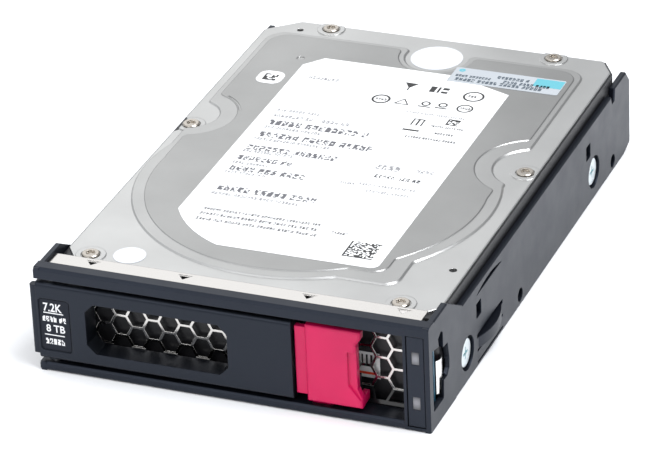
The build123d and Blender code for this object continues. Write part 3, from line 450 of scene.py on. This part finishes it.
class DRIVE_OT_shield(PieceOperator, bpy.types.Operator):
    """Stainless shield and its side fingers"""
    bl_idname = "drive.shield"
    bl_label = "Shield"

    def execute(self, context):
        # The shield's foot below the fold carries painted shade.
        finish_node("emi_shield", foot_in_painted_shade("stainless", (0.62, 0.60, 0.575), SHIELD_FOLD))
        finish_node("grounding_fingers", rolled_metal("finger_steel", (0.80, 0.79, 0.77), 0.2,
                                                      (1.0, 14.0, 14.0)))
        return {"FINISHED"}


class DRIVE_OT_casting(PieceOperator, bpy.types.Operator):
    """Casting, cover, gasket and cover screws"""
    bl_idname = "drive.casting"
    bl_label = "Casting and cover"

    def execute(self, context):
        finish_node("base_casting", coated_metal("black_casting", (0.012, 0.012, 0.014)))
        finish_node("top_cover", stamped_cover("cover_metal", settings().cover_colour))
        finish_node("cover_gasket", soft_rubber("gasket_rubber", (0.02, 0.02, 0.02)))
        nickel = rolled_metal("nickel_screw", (0.50, 0.46, 0.41), 0.2, (1, 1, 1), 400.0)
        for name in ("cover_screws", "shaft_screws", "clamp_screws", "pcb_screws"):
            finish_node(name, nickel)
        return {"FINISHED"}


class DRIVE_OT_labels(PieceOperator, bpy.types.Operator):
    """Paper labels"""
    bl_idname = "drive.labels"
    bl_label = "Labels"

    def execute(self, context):
        stock = paper("label_paper", (0.9, 0.9, 0.9))
        for name in ("main_label", "data_sticker", "front_label"):
            finish_node(name, stock)
        finish_node("seal_dots", paper("seal_paper", (0.68, 0.70, 0.73)))
        finish_node("serial_strip_label", paper("strip_paper", (0.44, 0.47, 0.50), 0.4))
        build_label_print()
        return {"FINISHED"}


class DRIVE_OT_inside(PieceOperator, bpy.types.Operator):
    """Discs, spindle, actuator and magnets inside the casting"""
    bl_idname = "drive.inside"
    bl_label = "Inside"

    def execute(self, context):
        steel = rolled_metal("steel", (0.55, 0.55, 0.55), 0.25)
        aluminium = rolled_metal("machined_aluminium", (0.7, 0.7, 0.71), 0.3, (1, 1, 8))
        nickel = rolled_metal("magnet_nickel", (0.7, 0.7, 0.68), 0.18, (1, 1, 1))
        copper = wound_wire("copper_wire", (0.72, 0.30, 0.12))
        moulding = moulded_plastic("inner_plastic", (0.70, 0.64, 0.50))
        cloth = filter_cloth("filter_cloth", (0.85, 0.85, 0.83))
        finishes = {
            steel: ("spindle_shaft", "spindle_bearing", "pivot_shaft", "pivot_bearing"),
            aluminium: ("spindle_hub", "platter_spacers", "disc_clamp", "actuator_carriage"),
            nickel: ("rotor_magnet", "lower_yoke", "upper_yoke", "voice_coil_magnets"),
            copper: ("stator_coils", "voice_coil"),
            moulding: ("flex_bracket", "load_ramp"),
            cloth: ("recirculation_filter", "breather_filter"),
            rolled_metal("core_steel", (0.3, 0.3, 0.31), 0.45, (1, 1, 20)): ("stator_core",),
            polished_disc("disc_mirror"): ("platters",),
            rolled_metal("spring_stainless", (0.65, 0.64, 0.62), 0.25): ("head_suspensions",),
            coated_metal("slider_ceramic", (0.06, 0.06, 0.065), 0.3): ("head_sliders",),
            soft_rubber("stop_rubber", (0.05, 0.05, 0.05)): ("crash_stops",),
            clear_film("flex_film", (0.55, 0.22, 0.04)): ("flex_cable",),
        }
        for material, names in finishes.items():
            for name in names:
                finish_node(name, material)
        return {"FINISHED"}


class DRIVE_OT_electronics(PieceOperator, bpy.types.Operator):
    """Circuit board, chips, pad and edge connector"""
    bl_idname = "drive.electronics"
    bl_label = "Electronics"

    def execute(self, context):
        finish_node("pcb", solder_mask("pcb_green", (0.015, 0.10, 0.06)))
        chip = moulded_plastic("chip_black", (0.02, 0.02, 0.02), 0.5)
        for name in ("controller_chip", "memory_chip", "motor_driver_chip"):
            finish_node(name, chip)
        finish_node("pcb_foam_pad", soft_rubber("foam_grey", (0.1, 0.1, 0.1)))
        finish_node("connector_housing", moulded_plastic("connector_black", (0.012, 0.012, 0.012), 0.4))
        finish_node("connector_contacts", rolled_metal("gold_contact", (0.85, 0.6, 0.2), 0.2))
        return {"FINISHED"}


class DRIVE_OT_stage(PieceOperator, bpy.types.Operator):
    """Floor, lights and camera"""
    bl_idname = "drive.stage"
    bl_label = "Stage"

    def execute(self, context):
        build_floor()
        build_lights()
        build_camera()
        return {"FINISHED"}


# ---- Print ----------------------------------------------------------------------------
# Sizes and places are in millimetres in this section.
PRINT_LIFT = 0.005      # air under the ink
PRINT_SHEET = 0.02      # thickness of the ink
STROKE = 0.018          # growth of a numeral's outline, of its height
RING_STEPS = 40
CHARACTER_ROWS = 5
CHARACTER_COLUMNS = 3

# Rows of the main label: left end, right end, foot and height.
BOLD_ROWS = ((-27.1, 1.6, 83.4, 2.8), (-27.0, 6.4, 76.2, 2.8), (-27.3, -1.0, 68.4, 2.6),
             (-27.4, -11.6, 62.3, 2.4), (-27.1, -5.0, 56.2, 2.6), (-25.9, 1.2, 45.0, 2.7))
FAINT_ROWS = ((-27.7, -14.9, 91.5, 1.4), (-27.5, -16.0, 88.1, 1.6), (-13.7, -5.8, 88.1, 1.8),
              (-27.4, -11.1, 81.2, 1.4), (-27.6, -6.0, 74.2, 1.3), (-27.6, -13.4, 66.9, 1.3),
              (-27.8, -17.3, 60.0, 1.3), (-27.7, -15.6, 54.5, 1.3), (-26.4, -2.1, 42.4, 1.4),
              (9.3, 17.9, 67.6, 2.6), (20.4, 26.3, 68.4, 1.8), (3.4, 7.5, 57.6, 1.0), (8.5, 24.2, 58.2, 1.2),
              (11.6, 24.6, 55.0, 1.2), (5.9, 22.3, 100.6, 0.9), (-26.7, -18.0, 112.2, 1.6))
DARK_ROWS = ((-24.9, 7.5, 33.9, 1.2), (-25.0, 7.7, 31.3, 1.3), (-24.9, 8.5, 28.5, 1.3),
             (11.2, 16.2, 31.4, 1.1), (10.8, 23.7, 63.1, 1.7), (10.5, 25.1, 86.9, 1.1),
             (17.5, 23.2, 90.6, 1.1), (15.0, 24.3, 94.5, 0.9))
# Plain blocks among the label's marks: left, right, front and rear.
MARK_BLOCKS = ((7.4, 9.0, 113.9, 117.2), (9.6, 10.2, 113.9, 117.2), (10.8, 12.6, 113.9, 115.0),
               (10.8, 12.6, 115.9, 117.2), (8.4, 13.0, 90.7, 91.5), (9.4, 9.8, 94.0, 97.8),
               (12.2, 12.6, 94.0, 97.8), (9.4, 12.6, 97.4, 97.8), (10.8, 11.3, 94.0, 97.4))


def corners(node):
    """Lowest and highest corner of a node."""
    return [[value / MM for value in corner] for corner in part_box(node)]


def add_patch(bm, left, right, front, rear, levels):
    add_box(bm, (left, front, levels[0]), (right, rear, levels[1]))


def add_ring(bm, x, y, outer, inner, levels):
    """Flat ring, spun from its section."""
    section = [(inner, levels[0]), (outer, levels[0]), (outer, levels[1]), (inner, levels[1])]
    verts = [bm.verts.new(((x + radius) * MM, y * MM, z * MM)) for radius, z in section]
    face = bm.faces.new(verts)
    bmesh.ops.spin(bm, geom=[face, *face.edges, *verts], cent=(x * MM, y * MM, 0), axis=(0, 0, 1),
                   angle=math.tau, steps=RING_STEPS, use_merge=True, use_duplicate=False)


def add_triangle(bm, points, levels):
    """Filled triangle, raised from one level to the other."""
    face = bm.faces.new([bm.verts.new((x * MM, y * MM, levels[0] * MM)) for x, y in points])
    made = bmesh.ops.extrude_face_region(bm, geom=[face])["geom"]
    top = [part for part in made if isinstance(part, bmesh.types.BMVert)]
    bmesh.ops.translate(bm, vec=(0, 0, (levels[1] - levels[0]) * MM), verts=top)


def add_stroke(bm, start, end, width, levels):
    """Straight line of ink between two points."""
    middle = Vector(((start[0] + end[0]) / 2, (start[1] + end[1]) / 2, sum(levels) / 2)) * MM
    turn = Matrix.Rotation(math.atan2(end[1] - start[1], end[0] - start[0]), 3, "Z")
    size = Vector((math.dist(start, end), width, levels[1] - levels[0])) * MM
    bmesh.ops.create_cube(bm, size=1.0, matrix=Matrix.LocRotScale(middle, turn, size))


def add_mark_row(bm, rng, row, levels, density=0.66):
    """Row of made-up characters in words, each of random cells."""
    start, end, foot, height = row
    tall = height / CHARACTER_ROWS
    width = CHARACTER_COLUMNS * tall * 0.86
    wide = width / CHARACTER_COLUMNS
    x = start
    while x + width < end:
        for _ in range(rng.randint(3, 8)):
            if x + width > end:
                break
            for line in range(CHARACTER_ROWS):
                filled = [rng.random() < density for _ in range(CHARACTER_COLUMNS)]
                for column in [column for column, on in enumerate(filled) if on]:
                    left = x + column * wide
                    front = foot + line * tall
                    add_patch(bm, left, left + wide, front, front + tall, levels)
            x += width + tall * 0.8
        x += tall * 1.8


def add_code(bm, rng, left, front, size, count, levels):
    """Square code of random cells, with a solid edge on two sides."""
    cell = size / count
    for row in range(count):
        for column in range(count):
            if row == 0 or column == 0 or rng.random() < 0.5:
                x, y = left + column * cell, front + row * cell
                add_patch(bm, x, x + cell, y, y + cell, levels)


def lettering(words, size):
    """Bmesh of plain numerals, drawn in X and Y with their lower left corner at the origin."""
    curve = bpy.data.curves.new("numerals", "FONT")
    curve.body = words
    curve.size = size * MM
    curve.extrude = PRINT_SHEET / 2 * MM
    curve.resolution_u = 3
    curve.offset = size * STROKE * MM
    drawn = bpy.data.objects.new("numerals", curve)
    bpy.context.scene.collection.objects.link(drawn)
    bpy.context.view_layer.update()
    mesh = bpy.data.meshes.new_from_object(drawn)
    bm = bmesh.new()
    bm.from_mesh(mesh)
    bpy.data.objects.remove(drawn)
    bpy.data.meshes.remove(mesh)
    bmesh.ops.remove_doubles(bm, verts=bm.verts, dist=1e-7)
    return bm


def build_label_print():
    """Everything printed on the paper labels, all of it made up."""
    rng = random.Random(settings().print_seed)
    foot = corners("main_label")[1][2] + PRINT_LIFT
    levels = (foot, foot + PRINT_SHEET)
    build_label_rows(rng, levels)
    black = printing_ink("black_ink", (0.02, 0.02, 0.02))
    build_label_marks(rng, levels, black)
    build_sticker_print(rng, levels, black)
    build_strip_print(rng, levels)
    build_front_label_print(rng, black)


def build_label_rows(rng, levels):
    for name, rows, colour in (("label_bold_rows", BOLD_ROWS, (0.10, 0.10, 0.11)),
                               ("label_faint_rows", FAINT_ROWS, (0.22, 0.22, 0.23)),
                               ("label_dark_rows", DARK_ROWS, (0.05, 0.05, 0.055))):
        bm = bmesh.new()
        for row in rows:
            add_mark_row(bm, rng, row, levels)
        finish_piece(bm, name, "carrier", printing_ink(name + "_ink", colour))


def build_label_marks(rng, levels, ink):
    """Plain rings, triangles and blocks, and two random codes."""
    bm = bmesh.new()
    for x, y, outer, inner in ((20.2, 114.4, 2.95, 2.35), (-3.3, 106.1, 2.6, 2.0), (20.3, 107.0, 2.3, 1.8)):
        add_ring(bm, x, y, outer, inner, levels)
        add_mark_row(bm, rng, (x - 1.5, x + 1.8, y - 0.6, 1.2), levels)
    for x, y in ((9.3, 106.3), (14.0, 106.7)):
        add_patch(bm, x - 1.7, x + 1.7, y - 1.5, y - 1.0, levels)
        add_ring(bm, x, y + 0.6, 1.3, 0.8, levels)
    x, y = 1.6, 116.0
    add_triangle(bm, [(x, y - 1.6), (x + 1.9, y + 1.4), (x - 1.9, y + 1.4)], levels)
    add_patch(bm, x - 0.2, x + 0.2, y - 3.0, y - 1.2, levels)
    x, y = 2.9, 106.2
    points = [(x - 1.9, y - 1.4), (x + 1.9, y - 1.4), (x, y + 1.6)]
    for start, end in zip(points, points[1:] + points[:1]):
        add_stroke(bm, start, end, 0.35, levels)
    for block in MARK_BLOCKS:
        add_patch(bm, *block, levels)
    add_code(bm, rng, 17.9, 21.2, 8.1, 18, levels)
    add_code(bm, rng, 18.4, 96.6, 3.4, 8, levels)
    finish_piece(bm, "label_shapes", "carrier", ink)


def build_sticker_print(rng, levels, ink):
    """Small code in the middle of the round-cornered sticker."""
    first, last = corners("data_sticker")
    size = 3.8
    left, front = [(a + b - size) / 2 for a, b in zip(first[:2], last[:2])]
    bm = bmesh.new()
    add_code(bm, rng, left, front, size, 7, levels)
    finish_piece(bm, "sticker_print", "carrier", ink)


def build_strip_print(rng, levels):
    """Rows, a patch of colour and a ring on the strip label."""
    (left, front, _), (right, rear, _) = corners("serial_strip_label")
    bm = bmesh.new()
    for start, end, foot, height in ((1.2, 11.5, 3.4, 1.3), (12.6, 22.5, 5.0, 1.6), (1.8, 28.0, 1.0, 1.7),
                                     (15.0, 29.5, 2.9, 1.5)):
        add_mark_row(bm, rng, (left + start, left + end, front + foot, height), levels, 0.8)
    finish_piece(bm, "strip_print", "carrier", printing_ink("strip_ink", (0.06, 0.08, 0.10)))
    bm = bmesh.new()
    add_patch(bm, right - 8.2, right - 0.2, rear - 5.2, rear - 0.6, levels)
    add_ring(bm, left + 2.0, rear - 1.6, 0.9, 0.2, levels)
    finish_piece(bm, "strip_patch", "carrier", paper("teal_patch", (0.10, 0.42, 0.50), 0.3))


def build_front_label_print(rng, ink):
    """Upright bars and a red stripe on the label behind the honeycomb vent."""
    back = corners("front_label")[0][1] - PRINT_LIFT
    front = back - PRINT_SHEET
    left = 24.0
    bm = bmesh.new()
    for k in range(9):
        x = left + 1.15 * k
        width = 0.35 + 0.3 * rng.random()
        add_box(bm, (x, front, 10.4), (x + width, back, 13.4))
    finish_piece(bm, "front_label_bars", "carrier", ink)
    bm = bmesh.new()
    add_box(bm, (left, front, 7.8), (left + 10.2, back, 8.5))
    red = printing_ink("red_ink", (0.7, 0.06, 0.02))
    finish_piece(bm, "front_label_stripe", "carrier", red)


def build_lever_print():
    """Speed and size numerals, two rules and made-up rows on the lever's patch."""
    rng = random.Random(settings().print_seed + 1)
    back = corners("lever_label")[0][1] - PRINT_LIFT
    front = back - PRINT_SHEET
    upright = Matrix.Rotation(math.pi / 2, 4, "X")
    bm = bmesh.new()
    for words, size, left, foot in (("7.2K", 3.3, -50.7, 17.4), ("8 TB", 2.9, -50.2, 11.5)):
        letters = lettering(words, size)
        width = max(vert.co.x for vert in letters.verts)
        fitted = Matrix.Diagonal((5.2 * MM / width, 1, 1, 1))
        where = Matrix.Translation(Vector((left, (front + back) / 2, foot)) * MM)
        letters.transform(where @ upright @ fitted)
        join(bm, letters)
    for foot in (16.75, 10.45):
        add_box(bm, (-50.7, front, foot), (-45.2, back, foot + 0.28))
    rows = bmesh.new()
    for row in ((-51.0, -44.2, 14.4, 1.5), (-50.5, -44.5, 7.9, 1.6)):
        add_mark_row(rows, rng, row, (0, PRINT_SHEET), 0.75)
    rows.transform(Matrix.Translation((0, back * MM, 0)) @ upright)
    join(bm, rows)
    white = printing_ink("white_ink", (0.80, 0.80, 0.82))
    finish_piece(bm, "lever_print", "lever", white)


def build_screw_patches():
    """Coloured thread-lock in the crosses of the carrier's screws."""
    first, last = corners("carrier_screws")
    z = (first[2] + last[2]) / 2
    sunk, half_sheet = 0.24, 0.02
    bm = bmesh.new()
    for side in (-1, 1):
        x = side * (last[0] - sunk)
        for y in SCREW_YS:
            for across, tall in ((1.7, 0.33), (0.33, 1.7)):
                add_box(bm, (x - half_sheet, y - across, z - tall), (x + half_sheet, y + across, z + tall))
    finish_piece(bm, "screw_patches", "carrier",
                 coated_metal("teal_lock", settings().screw_colour, 0.35))


# ---- Spring ---------------------------------------------------------------------------
def build_latch_spring(material):
    """Merged copy of the latch's spring, shaded smooth, with a mesh of its own."""
    bm = bmesh.new()
    bm.from_mesh(NODES["latch_spring"].data)
    bm.transform(NODES["latch_spring"].matrix_world)
    bmesh.ops.remove_doubles(bm, verts=bm.verts, dist=1e-7)
    for face in bm.faces:
        face.smooth = True
    coil = finish_piece(bm, "latch_spring_coil", "carrier", material, ("latch_spring",))
    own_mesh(coil)


# ---- Stage ----------------------------------------------------------------------------
def build_floor():
    bm = bmesh.new()
    bmesh.ops.create_grid(bm, x_segments=1, y_segments=1, size=settings().floor_margin)
    mesh = bpy.data.meshes.new("floor")
    bm.to_mesh(mesh)
    bm.free()
    floor = bpy.data.objects.new("floor", mesh)
    material, _, bsdf = start_material("pale_floor")
    bsdf.inputs["Base Color"].default_value = (0.95, 0.95, 0.955, 1)
    bsdf.inputs["Roughness"].default_value = 0.7
    mesh.materials.append(material)
    bpy.context.scene.collection.objects.link(floor)


def aim(location, target):
    return (Vector(target) - Vector(location)).to_track_quat("-Z", "Y").to_euler()


def area_light(name, location, target, size, power, colour=(1, 1, 1)):
    lamp = bpy.data.lights.new(name, "AREA")
    lamp.shape = "RECTANGLE"
    lamp.size, lamp.size_y = size
    lamp.energy = power
    lamp.color = colour
    light = bpy.data.objects.new(name, lamp)
    light.location = location
    light.rotation_euler = aim(location, target)
    bpy.context.scene.collection.objects.link(light)


def build_lights():
    """Bright tent: a sky that is paler to the left and dimmer low behind, and three soft boxes."""
    world = bpy.data.worlds.new("studio")
    bpy.context.scene.world = world
    world.use_nodes = True
    tree = world.node_tree
    direction = add(tree, "ShaderNodeTexCoord").outputs["Generated"]
    split = add(tree, "ShaderNodeSeparateXYZ", {"Vector": direction}).outputs
    across = remap(tree, split["X"], 1.05, 0.55, -0.7, 0.5)
    up = remap(tree, split["Z"], 0.45, 1.25, 0.0, 0.9)
    strength = add(tree, "ShaderNodeMath", {0: across, 1: up}, operation="MULTIPLY").outputs[0]
    background = tree.nodes["Background"]
    background.inputs["Color"].default_value = (0.95, 0.97, 1.0, 1)
    tree.links.new(strength, background.inputs["Strength"])
    middle = (0, 0.07, 0.015)
    area_light("top_light", (0.55, 0.0, 1.05), middle, (0.7, 0.7), 13, (0.95, 0.97, 1.0))
    area_light("back_light", (-0.8, 1.0, 0.75), middle, (1.0, 1.0), 2)
    area_light("front_light", (-0.3, -0.9, 0.7), middle, (0.8, 0.4), 3)
    bpy.context.scene.view_settings.view_transform = "Standard"


CAMERA_PLACE = (0.35824, -0.80966, 0.52012)
CAMERA_TURN = (61.599, 2.267, 21.241)


def build_camera():
    """Camera at the viewing distance, a little rolled."""
    camera = bpy.data.cameras.new("camera")
    camera.sensor_width = 36.0
    camera.lens = 224.4
    camera.clip_start = 0.01
    camera.clip_end = 10.0
    rig = bpy.data.objects.new("camera", camera)
    rig.location = CAMERA_PLACE
    rig.rotation_euler = [math.radians(angle) for angle in CAMERA_TURN]
    bpy.context.scene.collection.objects.link(rig)
    bpy.context.scene.camera = rig


# ---- Add-on ---------------------------------------------------------------------------
class DRIVE_PT_panel(bpy.types.Panel):
    """Lists the drive's settings and its pieces"""
    bl_label = "Hot-plug drive"
    bl_idname = "DRIVE_PT_panel"
    bl_space_type = "VIEW_3D"
    bl_region_type = "UI"
    bl_category = "Drive"

    def draw(self, context):
        for name in DriveSettings.__annotations__:
            self.layout.prop(context.scene.drive_settings, name)
        for piece in PIECES:
            self.layout.operator(piece.bl_idname)


PIECES = (DRIVE_OT_stage, DRIVE_OT_carrier, DRIVE_OT_lever, DRIVE_OT_latch, DRIVE_OT_shield,
          DRIVE_OT_casting, DRIVE_OT_labels, DRIVE_OT_inside, DRIVE_OT_electronics)


def register():
    for kind in (DriveSettings, *PIECES, DRIVE_PT_panel):
        bpy.utils.register_class(kind)
    bpy.types.Scene.drive_settings = PointerProperty(type=DriveSettings)


def unregister():
    del bpy.types.Scene.drive_settings
    for kind in (DRIVE_PT_panel, *reversed(PIECES), DriveSettings):
        bpy.utils.unregister_class(kind)


def main():
    register()
    for piece in PIECES:
        group, name = piece.bl_idname.split(".")
        getattr(getattr(bpy.ops, group), name)()


if __name__ == "__main__":
    main()
